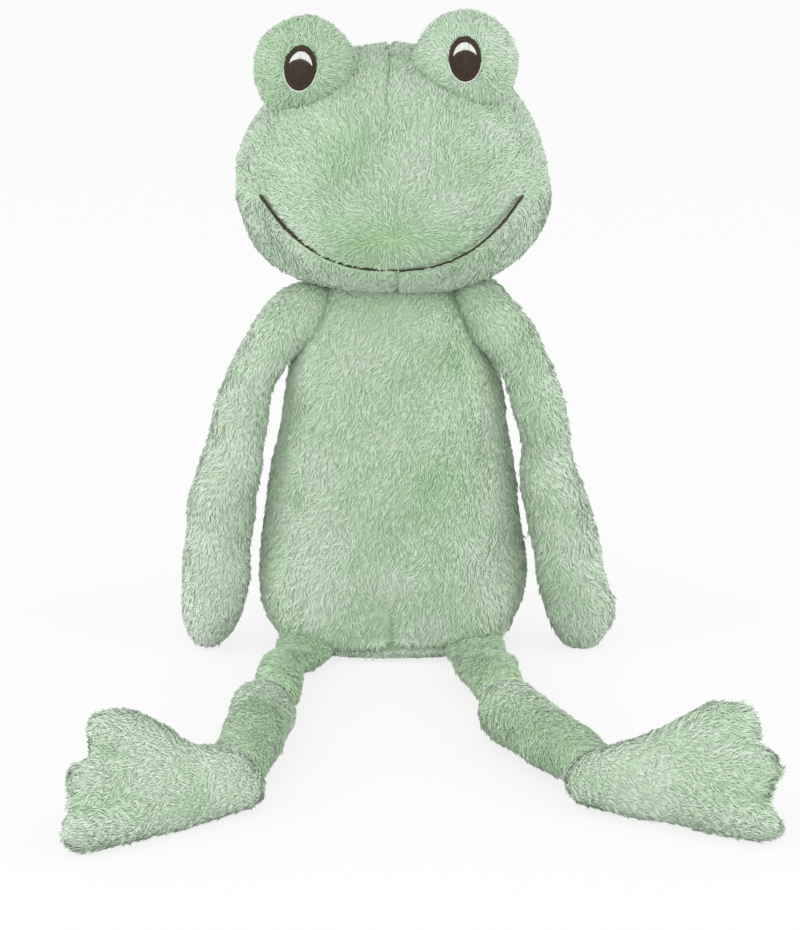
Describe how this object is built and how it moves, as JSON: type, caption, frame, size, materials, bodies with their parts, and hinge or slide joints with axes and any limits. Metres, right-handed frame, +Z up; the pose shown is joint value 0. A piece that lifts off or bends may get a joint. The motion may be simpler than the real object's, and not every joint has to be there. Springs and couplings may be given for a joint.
{
  "type": "plush frog",
  "caption": "Seated plush frog with hanging tube arms, long soft legs, flat lobed feet and an embroidered face; it sits on a weighted seat.",
  "frame": {"origin": "middle of the flat seat, on the surface that the frog sits on", "axes": "+Z up, the frog looks along -Y, its own left side is at +X"},
  "size_m": [0.1993, 0.2279, 0.1988],
  "materials": {
    "plush": "short-pile plush",
    "fibre": "loose fibre filling",
    "pouch": "cloth pouch filled with pellets",
    "thread_dark": "satin stitch",
    "thread_white": "satin stitch"
  },
  "bodies": {
    "torso": {"torso_cover": "plush", "torso_filling": "fibre", "seat_pellet_pouch": "pouch"},
    "head": {"head_cover": "plush", "head_filling": "fibre", "mouth_stitching": "thread_dark", "left_eye_mound_cover": "plush", "left_eye_mound_filling": "fibre", "left_eye_outline": "thread_dark", "left_eye_pupil": "thread_dark", "left_eye_white": "thread_white", "right_eye_mound_cover": "plush", "right_eye_mound_filling": "fibre", "right_eye_outline": "thread_dark", "right_eye_pupil": "thread_dark", "right_eye_white": "thread_white"},
    "left_arm": {"left_arm_cover": "plush", "left_arm_filling": "fibre"},
    "left_thigh": {"left_thigh_cover": "plush", "left_thigh_filling": "fibre"},
    "left_shin": {"left_shin_cover": "plush", "left_shin_filling": "fibre"},
    "left_foot": {"left_foot_cover": "plush", "left_foot_filling": "fibre"},
    "right_arm": {"right_arm_cover": "plush", "right_arm_filling": "fibre"},
    "right_thigh": {"right_thigh_cover": "plush", "right_thigh_filling": "fibre"},
    "right_shin": {"right_shin_cover": "plush", "right_shin_filling": "fibre"},
    "right_foot": {"right_foot_cover": "plush", "right_foot_filling": "fibre"}
  },
  "joints": [
    {"name": "neck_nod", "type": "hinge", "parent": "torso", "child": "head", "pos_m": [0, 0, 0.101], "axis": [1, 0, 0], "range_deg": [-20, 8], "stiffness_Nm_per_rad": 0.15},
    {"name": "left_shoulder", "type": "hinge", "parent": "torso", "child": "left_arm", "pos_m": [0.0285, -0.013, 0.106], "axis": [-1, 0, 0], "range_deg": [-75, 105]},
    {"name": "left_hip", "type": "hinge", "parent": "torso", "child": "left_thigh", "pos_m": [0.0245, -0.02, 0.0085], "axis": [-0.9925, -0.1219, 0], "range_deg": [-90, 25]},
    {"name": "left_knee", "type": "hinge", "parent": "left_thigh", "child": "left_shin", "pos_m": [0.03474, -0.10337, 0.0098], "axis": [-0.9925, -0.1219, 0], "range_deg": [-75, 75]},
    {"name": "left_ankle", "type": "hinge", "parent": "left_shin", "child": "left_foot", "pos_m": [0.05812, -0.1559, 0.0095], "axis": [0.1985, 0.3177, 0.9272], "range_deg": [-55, 50]},
    {"name": "right_shoulder", "type": "hinge", "parent": "torso", "child": "right_arm", "pos_m": [-0.0285, -0.013, 0.106], "axis": [-1, 0, 0], "range_deg": [-75, 105]},
    {"name": "right_hip", "type": "hinge", "parent": "torso", "child": "right_thigh", "pos_m": [-0.0245, -0.02, 0.0085], "axis": [-0.9914, 0.1305, 0], "range_deg": [-90, 25]},
    {"name": "right_knee", "type": "hinge", "parent": "right_thigh", "child": "right_shin", "pos_m": [-0.03546, -0.10328, 0.0098], "axis": [-0.9914, 0.1305, 0], "range_deg": [-75, 75]},
    {"name": "right_ankle", "type": "hinge", "parent": "right_shin", "child": "right_foot", "pos_m": [-0.04197, -0.16041, 0.0095], "axis": [0.2202, -0.3031, -0.9272], "range_deg": [-70, 38]}
  ]
}
